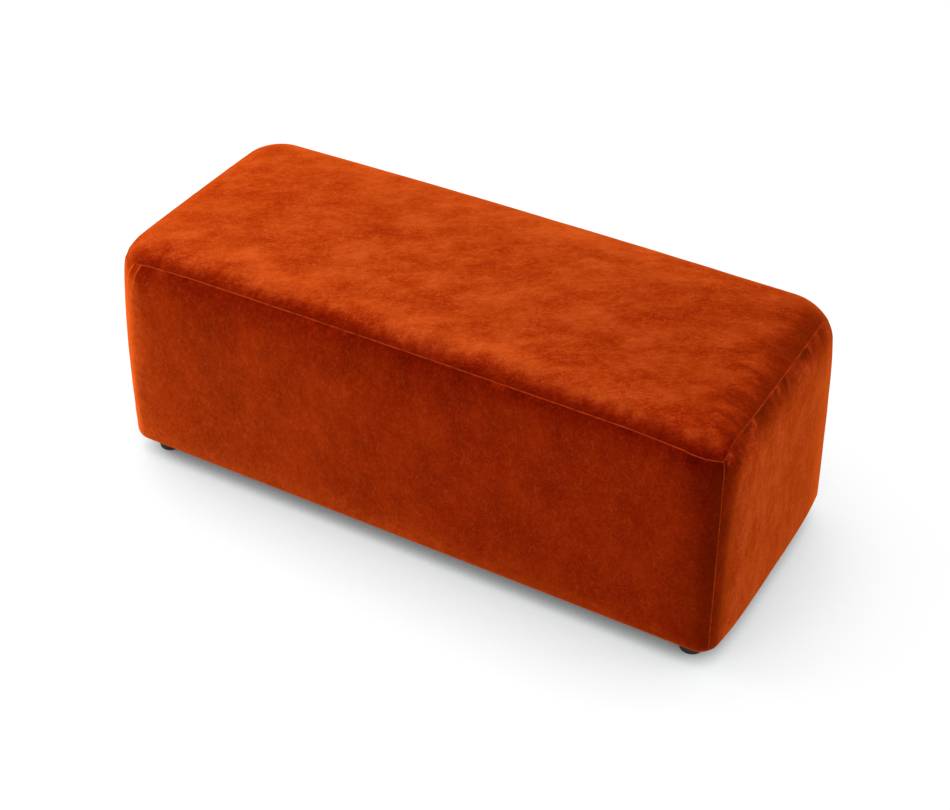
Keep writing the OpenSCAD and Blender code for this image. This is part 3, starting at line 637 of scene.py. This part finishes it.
class Shader(Nodes):
    """A material with its Principled shader."""

    def __init__(self, name, colour, roughness, metallic=0.0):
        self.material = bpy.data.materials.new(name)
        self.material.use_nodes = True
        super().__init__(self.material.node_tree)
        self.main = self.tree.nodes["Principled BSDF"]
        self.main.inputs["Base Color"].default_value = (*colour, 1)
        self.main.inputs["Roughness"].default_value = roughness
        self.main.inputs["Metallic"].default_value = metallic
        self.place = self.node("ShaderNodeTexCoord").outputs["Object"]

    def stretched(self, scale, turn=(0, 0, 0)):
        mapping = self.node("ShaderNodeMapping", vector_type="TEXTURE")
        mapping.inputs["Scale"].default_value = tuple(1 / x for x in scale)
        mapping.inputs["Rotation"].default_value = turn
        self.link(self.place, mapping.inputs["Vector"])
        return mapping.outputs[0]

    def noise(self, scale, detail=3.0, roughness=0.6, vector=None, distortion=0.0):
        look = {"Scale": scale, "Detail": detail, "Roughness": roughness, "Distortion": distortion}
        made = self.node("ShaderNodeTexNoise", **look)
        self.link(vector or self.place, made.inputs["Vector"])
        return made.outputs["Fac"]

    def threads(self, vector, width):
        """Thin curled lines, 1 on a line and 0 beside it."""
        curled = self.noise(1.0, detail=1.0, vector=vector, distortion=1.0)
        away = self.math("ABSOLUTE", self.math("SUBTRACT", curled, 0.5), 0.0)
        return self.math("SUBTRACT", 1.0, self.math("DIVIDE", away, width), clamp=True)

    def ramp(self, value, stops):
        made = self.node("ShaderNodeValToRGB")
        elements = made.color_ramp.elements
        while len(elements) < len(stops):
            elements.new(0.5)
        for element, (at, colour) in zip(elements, stops):
            element.position = at
            element.color = (*colour, 1)
        self.link(value, made.inputs["Fac"])
        return made.outputs["Color"]

    def mix(self, share, a, b, kind="MIX"):
        made = self.node("ShaderNodeMix", data_type="RGBA", blend_type=kind)
        for socket, value in ((made.inputs[0], share), (made.inputs[6], a), (made.inputs[7], b)):
            if isinstance(value, (int, float)):
                socket.default_value = value
            elif isinstance(value, tuple):
                socket.default_value = (*value, 1)
            else:
                self.link(value, socket)
        return made.outputs[2]

    def colour(self, output):
        self.link(output, self.main.inputs["Base Color"])

    def rough(self, value, low, high):
        made = self.node("ShaderNodeMapRange")
        made.inputs["To Min"].default_value = low
        made.inputs["To Max"].default_value = high
        self.link(value, made.inputs["Value"])
        self.link(made.outputs[0], self.main.inputs["Roughness"])

    def bump(self, height, strength, distance):
        made = self.node("ShaderNodeBump", Strength=strength, Distance=distance)
        self.link(height, made.inputs["Height"])
        self.link(made.outputs[0], self.main.inputs["Normal"])

    def attribute(self, name):
        return self.node("ShaderNodeAttribute", attribute_name=name).outputs["Fac"]


def grey(value):
    return (value, value, value)


def scaled(values, times):
    return tuple(times * x for x in values)


# Multipliers for pressed pile with painted shade; colours of the pale tips, of brushed pile with painted
# highlight and of the painted highlight along the seams; the brushed highlight's tones
PRESSED_AND_PAINTED_SHADE, PRESSED_AND_PAINTED_SHADE_HUE = (0.22, 0.05, 0.03), (1.0, 0.20, 0.2)
VELVET_TIP = (0.770, 0.120, 0.0300)
VELVET_BRUSHED_HIGHLIGHT = (0.700, 0.092, 0.0120)
VELVET_SEAM_HIGHLIGHT = (0.640, 0.062, 0.0140)
BRUSHED_HIGHLIGHT_TONES = ((0.34, 0.68), (0.5, 1.0), (0.66, 1.28))
PILE_TONES = ((0.30, -0.44), (0.42, -0.18), (0.5, 0.0), (0.70, 0.52))
THREADS = ((5.0, 0.035), (10.0, 0.045))
FUZZ_DETAIL, FUZZ_ROUGHNESS = 6.0, 0.78
FEATHER_SCALE, FEATHER_GAIN = 11, 3.0
LINE_SCALE, LINE_FROM, LINE_GAIN = 60.0, 0.20, 2.4
SHEEN, SHEEN_ROUGHNESS, SHEEN_TINT = 1.0, 0.5, (1.0, 0.15, 0.010)
PILE_BUMP, PILE_DEPTH = 0.6, 0.0030

# For each velvet: its colour, what its paler pile adds to that, how fine its nap is along X, Y and Z and how
# far it is turned, the share of pale tips, and how strong its blotches are
# The three are one fabric: their colours differ partly by the nap's direction and partly as painted light
# and shade, lighter on the seat and darker on the long sides
VELVETS = {
    "velvet_top": {
        "colour": (0.370, 0.0300, 0.0018),
        "lighter": (0.39, 0.105, 0.022),
        "nap": (10.0, 17.0, 14.0),
        "turn": math.radians(30),
        "tip_share": 0.27,
        "contrast": 0.90,
    },
    "velvet_side": {
        "colour": (0.236, 0.0045, 0.0001),
        "lighter": (0.25, 0.030, 0.003),
        "nap": (14.0, 14.0, 10.0),
        "turn": 0,
        "tip_share": 0.13,
        "contrast": 0.75,
    },
    "velvet_end": {
        "colour": (0.318, 0.0195, 0.0045),
        "lighter": (0.39, 0.110, 0.032),
        "nap": (15.0, 15.0, 9.0),
        "turn": 0,
        "tip_share": 0.36,
        "contrast": 0.98,
    },
}


def velvet(name, colour, lighter, nap, turn, tip_share, contrast):
    """Short brushed pile: blotches and fuzz of all sizes, pale fibre tips, pressed pile with painted shade
    beside the seams, brushed pile with painted highlight where the lay is below 0, a painted highlight along
    the seams, and sheen at its rim."""
    s = Shader(name, colour, roughness=0.95)

    def napped(times):
        return s.stretched(scaled(nap, times), (0, 0, turn))

    fuzz = s.noise(1.0, detail=FUZZ_DETAIL, roughness=FUZZ_ROUGHNESS, vector=napped(1))
    tones = []
    for at, more in PILE_TONES:
        tones.append((at, tuple(max(c + contrast * more * step, 0.0) for c, step in zip(colour, lighter))))
    tone = s.ramp(fuzz, tones)
    # The lay: pressed pile with painted shade above 0, brushed pile with painted highlight below 0
    lay_and_painted_light = s.attribute("lay_and_painted_light")
    turned = s.math("ABSOLUTE", lay_and_painted_light, 0.0)
    edge = s.math("MULTIPLY", turned, s.math("SUBTRACT", 1.0, turned))
    feather = s.math("SUBTRACT", s.noise(1.0, detail=2.0, vector=napped(FEATHER_SCALE)), 0.5)
    lay_and_painted_light = s.math("ADD", lay_and_painted_light, s.math("MULTIPLY", edge, s.math("MULTIPLY", feather, FEATHER_GAIN)))
    # Brushed pile with painted highlight where the lay is below 0
    brushed_and_highlight = s.ramp(fuzz, [(at, scaled(VELVET_BRUSHED_HIGHLIGHT, bright)) for at, bright in BRUSHED_HIGHLIGHT_TONES])
    tone = s.mix(s.math("MULTIPLY", lay_and_painted_light, -1.0, clamp=True), tone, brushed_and_highlight)
    tips = [s.threads(napped(times), width) for times, width in THREADS]
    tone = s.mix(s.math("MULTIPLY", s.math("ADD", *tips), tip_share, clamp=True), tone, VELVET_TIP)
    # Pressed pile with painted shade where the lay is above 0
    pressed_and_shaded = s.math("MAXIMUM", lay_and_painted_light, 0.0)
    for shade in (PRESSED_AND_PAINTED_SHADE, PRESSED_AND_PAINTED_SHADE_HUE):
        tone = s.mix(pressed_and_shaded, tone, shade, "MULTIPLY")
    # Painted highlight along the seams, broken up
    broken = s.math("SUBTRACT", s.noise(LINE_SCALE), LINE_FROM)
    shows = s.math("MULTIPLY", broken, LINE_GAIN, clamp=True)
    line = s.math("MULTIPLY", s.attribute("painted_seam_highlight"), shows, clamp=True)
    s.colour(s.mix(line, tone, VELVET_SEAM_HIGHLIGHT))
    s.main.inputs["Sheen Weight"].default_value = SHEEN
    s.main.inputs["Sheen Roughness"].default_value = SHEEN_ROUGHNESS
    s.main.inputs["Sheen Tint"].default_value = (*SHEEN_TINT, 1)
    s.main.inputs["Specular IOR Level"].default_value = 0.0
    s.bump(fuzz, strength=PILE_BUMP, distance=PILE_DEPTH)
    return s.material


def wood(name, light, dark, axis):
    """Planed timber: growth rings stretched along the grain, with fine pores."""
    s = Shader(name, light, roughness=0.6)

    def grained(across, along):
        return s.stretched([along if i == axis else across for i in range(3)])

    ring_place, pore_place = grained(across=60.0, along=3.0), grained(across=900.0, along=40.0)
    rings = s.noise(1.0, detail=3.0, roughness=0.55, vector=ring_place, distortion=1.2)
    pores = s.noise(1.0, detail=2.0, roughness=0.5, vector=pore_place)
    ringed = s.ramp(rings, ((0.3, dark), (0.55, light), (0.8, dark)))
    s.colour(s.mix(s.math("MULTIPLY", pores, 0.35), ringed, dark))
    s.rough(pores, low=0.5, high=0.8)
    s.bump(s.math("ADD", rings, pores), strength=0.25, distance=0.0004)
    return s.material


FINER, COARSE_PART, FINE_PART = 5, 0.6, 0.4
UNEVEN, LEAST_ROUGH = 0.12, 0.05


def mottled(name, light, dark, scale, roughness, bump_distance, metallic=0.0, stretch=(1, 1, 1)):
    """A speckled surface such as foam, felt, board, cast plastic or zinc plating."""
    s = Shader(name, light, roughness, metallic)
    vector = s.stretched(stretch)
    coarse = s.noise(scale, detail=4.0, roughness=0.65, vector=vector)
    fine = s.noise(scale * FINER, detail=2.0, vector=vector)
    both = s.math("ADD", s.math("MULTIPLY", coarse, COARSE_PART), s.math("MULTIPLY", fine, FINE_PART))
    s.colour(s.ramp(both, ((0.35, dark), (0.62, light))))
    s.rough(fine, low=max(roughness - UNEVEN, LEAST_ROUGH), high=min(roughness + UNEVEN, 1.0))
    s.bump(both, strength=0.4, distance=bump_distance)
    return s.material


def nonwoven(name):
    """Spun-bonded cloth with its grid of welded points."""
    s = Shader(name, grey(0.02), roughness=0.85)
    cells = s.node("ShaderNodeTexVoronoi", Scale=420.0, Randomness=0.15)
    s.link(s.place, cells.inputs["Vector"])
    points = cells.outputs["Distance"]
    fibres = s.noise(700.0, detail=3.0, roughness=0.7)
    s.colour(s.ramp(s.math("MULTIPLY", points, fibres), ((0.1, grey(0.008)), (0.5, grey(0.035)))))
    s.bump(s.math("ADD", points, fibres), strength=0.5, distance=0.0004)
    s.main.inputs["Sheen Weight"].default_value = 0.2
    return s.material


TIMBER_LIGHT, TIMBER_DARK = (0.60, 0.40, 0.20), (0.42, 0.25, 0.11)

# By slot: light and dark colour, noise scale, roughness, bump in metres, then metallic and stretch
INNER_LOOKS = {
    "fibre": (grey(0.85), grey(0.68), 90.0, 0.95, 0.002),
    "seat_foam": ((0.80, 0.66, 0.30), (0.62, 0.46, 0.16), 500.0, 0.9, 0.0008),
    "side_foam": ((0.78, 0.62, 0.36), (0.58, 0.42, 0.20), 500.0, 0.9, 0.0008),
    "felt": (grey(0.12), grey(0.03), 160.0, 0.95, 0.001, 0.0, (1, 1, 3)),
    "spring_wire": (grey(0.42), grey(0.26), 90.0, 0.35, 0.0001, 1.0),
    "clip_steel": (grey(0.62), grey(0.48), 300.0, 0.32, 0.0001, 1.0),
    "tie_wire": ((0.60, 0.44, 0.22), (0.42, 0.28, 0.12), 400.0, 0.85, 0.0003, 0.0, (0.2, 1, 1)),
    "side_board": ((0.26, 0.14, 0.06), (0.15, 0.075, 0.03), 350.0, 0.6, 0.0002),
    "dowel": ((0.66, 0.46, 0.26), (0.50, 0.33, 0.16), 200.0, 0.6, 0.0003, 0.0, (0.2, 1, 1)),
    "zinc_screw": ((0.66, 0.66, 0.62), (0.50, 0.50, 0.47), 250.0, 0.3, 0.0001, 1.0),
    "foot_plastic": (grey(0.005), grey(0.003), 900.0, 0.60, 0.0002),
}


def slot_of(node):
    return next(x["material_slot"] for x in frame["record"]["subparts"] if x["node"] == node)


def grain_axis(node):
    low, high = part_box(node)
    return int(np.argmax([high[i] - low[i] for i in range(3)]))


def inner_materials():
    timber = [wood("timber_" + "xyz"[axis], TIMBER_LIGHT, TIMBER_DARK, axis) for axis in range(3)]
    by_slot = {slot: mottled(slot, *look) for slot, look in INNER_LOOKS.items()}
    for name, obj in frame["nodes"].items():
        slot = slot_of(name)
        if slot in ("velvet", "dust_cloth"):
            continue
        material = timber[grain_axis(name)] if slot == "timber" else by_slot[slot]
        obj.data.materials.clear()
        obj.data.materials.append(material)


DUST_ROUND, DUST_HOLE, DUST_STEP, DUST_ARC = 0.020, 0.008, 0.012, 7
RIPPLE, RIPPLE_SIZE = 0.6, (0.09, 0.06)
SMALL_RIPPLE, SMALL_RIPPLE_SIZE = 0.4, (0.025, 0.02)
DUST_THICK, DUST_SWING = 0.5, 0.2


def dust_cover(seed):
    """Spun-bonded sheet stretched under the frame, with faint ripples and a hole for each foot's screw."""
    low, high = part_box("dust_cover")
    foot_low, foot_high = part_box("foot_back_right")
    foot = (foot_low + foot_high) / 2
    lines = []
    for edge, at in ((high.x, foot.x), (high.y, foot.y)):
        outer = edge - DUST_ROUND * (1 - np.cos(np.radians(np.linspace(0, 90, DUST_ARC))))
        hole = (at - DUST_HOLE / 2, at + DUST_HOLE / 2)
        half = np.concatenate([np.linspace(0, hole[0], int(hole[0] / DUST_STEP)), [hole[1]], outer])
        lines.append(np.unique(np.round(np.concatenate([-half, half]), 7)))
    x, y = np.meshgrid(*lines, indexing="ij")
    centre_x, centre_y = high.x - DUST_ROUND, high.y - DUST_ROUND
    away_x, away_y = np.maximum(np.abs(x) - centre_x, 0), np.maximum(np.abs(y) - centre_y, 0)
    pull = DUST_ROUND / np.maximum(np.hypot(away_x, away_y), DUST_ROUND)
    corner = (away_x > 0) & (away_y > 0)
    x = np.where(corner, np.sign(x) * (centre_x + away_x * pull), x)
    y = np.where(corner, np.sign(y) * (centre_y + away_y * pull), y)
    table = noise_table(seed)
    slow = noise(table, x / RIPPLE_SIZE[0] + 30, y / RIPPLE_SIZE[1] + 30)
    small = noise(table, x / SMALL_RIPPLE_SIZE[0] + 60, y / SMALL_RIPPLE_SIZE[1] + 60)
    ripple = RIPPLE * slow + SMALL_RIPPLE * small
    z = (low.z + high.z) / 2 + DUST_SWING * (high.z - low.z) * ripple
    nx, ny = x.shape
    middles = [(line[1:] + line[:-1]) / 2 for line in lines]
    open_x = np.abs(np.abs(middles[0]) - foot.x) < DUST_HOLE / 4
    open_y = np.abs(np.abs(middles[1]) - foot.y) < DUST_HOLE / 4
    solid = ~(open_x[:, None] & open_y[None]).ravel()
    faces = np.array(grid_faces(nx, ny))[solid].tolist()
    obj = mesh_object("dust_sheet", np.stack([x, y, z], -1), faces)
    shell = obj.modifiers.new("thickness", "SOLIDIFY")
    shell.thickness, shell.offset = DUST_THICK * (high.z - low.z), 0
    obj.data.materials.append(nonwoven("dust_cloth"))
    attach(obj, "root")
    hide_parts("dust_cover")


# Floor, light and camera

FLOOR_SIZE = 60.0
FLOOR_COLOUR = grey(0.64)
FLOOR_SEEN = (1.265, 1.295, 1.300)
SHADOW_REACH, SHADOW_SHARE = 0.3, 0.8
SHADOW_TONES = (
    (0.0, grey(0.04)),
    (0.25, (0.213, 0.220, 0.221)),
    (0.42, (0.582, 0.600, 0.604)),
    (0.62, (0.835, 0.862, 0.868)),
    (0.9, grey(1.0)),
)
SKY_LOW, SKY_RISE = 0.26, 0.80


def floor():
    """Takes light as a plain grey floor, and is seen as a white one with a shadow under the bench."""
    half = FLOOR_SIZE / 2
    corners = np.array([(-half, -half, 0), (half, -half, 0), (half, half, 0), (-half, half, 0)])
    obj = mesh_object("floor", corners, [(0, 1, 2, 3)])
    s = Shader("floor", FLOOR_COLOUR, roughness=0.9)
    s.main.inputs["Specular IOR Level"].default_value = 0.0
    lit = s.node("ShaderNodeBsdfDiffuse", Color=(*FLOOR_SEEN, 1))
    nook = s.node("ShaderNodeAmbientOcclusion", Distance=SHADOW_REACH, samples=8)
    shade = s.node("ShaderNodeEmission")
    s.link(s.ramp(nook.outputs["AO"], SHADOW_TONES), shade.inputs["Color"])
    seen = s.node("ShaderNodeMixShader", Fac=SHADOW_SHARE)
    s.link(lit.outputs[0], seen.inputs[1])
    s.link(shade.outputs[0], seen.inputs[2])
    s.split_rays(s.main, seen, s.tree.nodes["Material Output"])
    obj.data.materials.append(s.material)


def world():
    """White where it is seen. For all other light it is a soft sky that is brighter overhead."""
    made = bpy.data.worlds.new("studio")
    made.use_nodes = True
    w = Nodes(made.node_tree)
    w.tree.nodes.clear()
    parts = w.node("ShaderNodeSeparateXYZ")
    w.link(w.node("ShaderNodeTexCoord").outputs["Generated"], parts.inputs[0])
    up = w.math("MAXIMUM", parts.outputs["Z"], 0.0)
    fill, seen = (w.node("ShaderNodeBackground", Color=(1, 1, 1, 1)) for _ in range(2))
    w.link(w.math("ADD", w.math("MULTIPLY", up, SKY_RISE), SKY_LOW), fill.inputs["Strength"])
    w.split_rays(fill, seen, w.node("ShaderNodeOutputWorld"))
    bpy.context.scene.world = made


# Square lamps that face the middle of the bench: place and power
LAMP_SIZE = 1.0
LAMPS = {
    "overhead": ((-0.9, -0.4, 2.1), 5.5),
    "left_front": ((-1.9, -1.2, 1.3), 10),
    "left": ((-2.5, -0.1, 0.9), 24),
    "right": ((2.4, -0.9, 0.9), 6.5),
}


def lights():
    middle = Vector((0, 0, SEAT_Z / 2))
    for name, (place, power) in LAMPS.items():
        data = bpy.data.lights.new(name, "AREA")
        data.shape = "RECTANGLE"
        data.size = data.size_y = LAMP_SIZE
        data.energy = power
        obj = linked(name, data)
        obj.location = place
        obj.rotation_euler = (Vector(place) - middle).to_track_quat("Z", "Y").to_euler()


IMAGE_W, IMAGE_H = 950, 810
CAMERA = {"azimuth": 30.32, "elevation": 35.93, "distance": 3.36706, "roll": -0.37}
AIM = (0.0127, 0.0, 0.29966)
FOCAL_PX, CENTRE_PX = 1879.35, (475.0, 350.0)
SENSOR_MM, NEAR, FAR = 36.0, 0.1, 200


def camera():
    """The photograph's camera, as fitted to the outline and the seams."""
    data = bpy.data.cameras.new("camera")
    data.sensor_width = SENSOR_MM
    data.lens = FOCAL_PX / IMAGE_W * data.sensor_width
    data.shift_x = (IMAGE_W / 2 - CENTRE_PX[0]) / IMAGE_W
    data.shift_y = (CENTRE_PX[1] - IMAGE_H / 2) / IMAGE_W
    data.clip_start, data.clip_end = NEAR, FAR
    obj = linked("camera", data)
    a, e = math.radians(CAMERA["azimuth"]), math.radians(CAMERA["elevation"])
    back = Vector((math.sin(a) * math.cos(e), -math.cos(a) * math.cos(e), math.sin(e)))
    right = Vector((0, 0, 1)).cross(back).normalized()
    up = back.cross(right)
    roll = math.radians(CAMERA["roll"])
    right, up = right * math.cos(roll) + up * math.sin(roll), up * math.cos(roll) - right * math.sin(roll)
    turn = Matrix((right, up, back)).transposed().to_4x4()
    obj.matrix_world = Matrix.Translation(Vector(AIM) + back * CAMERA["distance"]) @ turn
    bpy.context.scene.camera = obj


def cover():
    """The five velvet panels. The left end takes the velvet of the long sides, whose colour is painted
    darker as shade.
    """
    looks = {name: velvet(name, **look) for name, look in VELVETS.items()}
    by_panel = {"top": looks["velvet_top"], "right_end": looks["velvet_end"]}
    pieces = {"top": velvet_top(11)}
    for seed, name in enumerate(PANELS, 21):
        pieces[name] = velvet_side(name, seed)
    for name, obj in pieces.items():
        obj.data.materials.append(by_panel.get(name, looks["velvet_side"]))
        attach(obj, "root")
        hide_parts("cover_" + name)


camera()
floor()
world()
lights()
inner_materials()
dust_cover(5)
cover()

bpy.context.scene.view_settings.view_transform = "Standard"
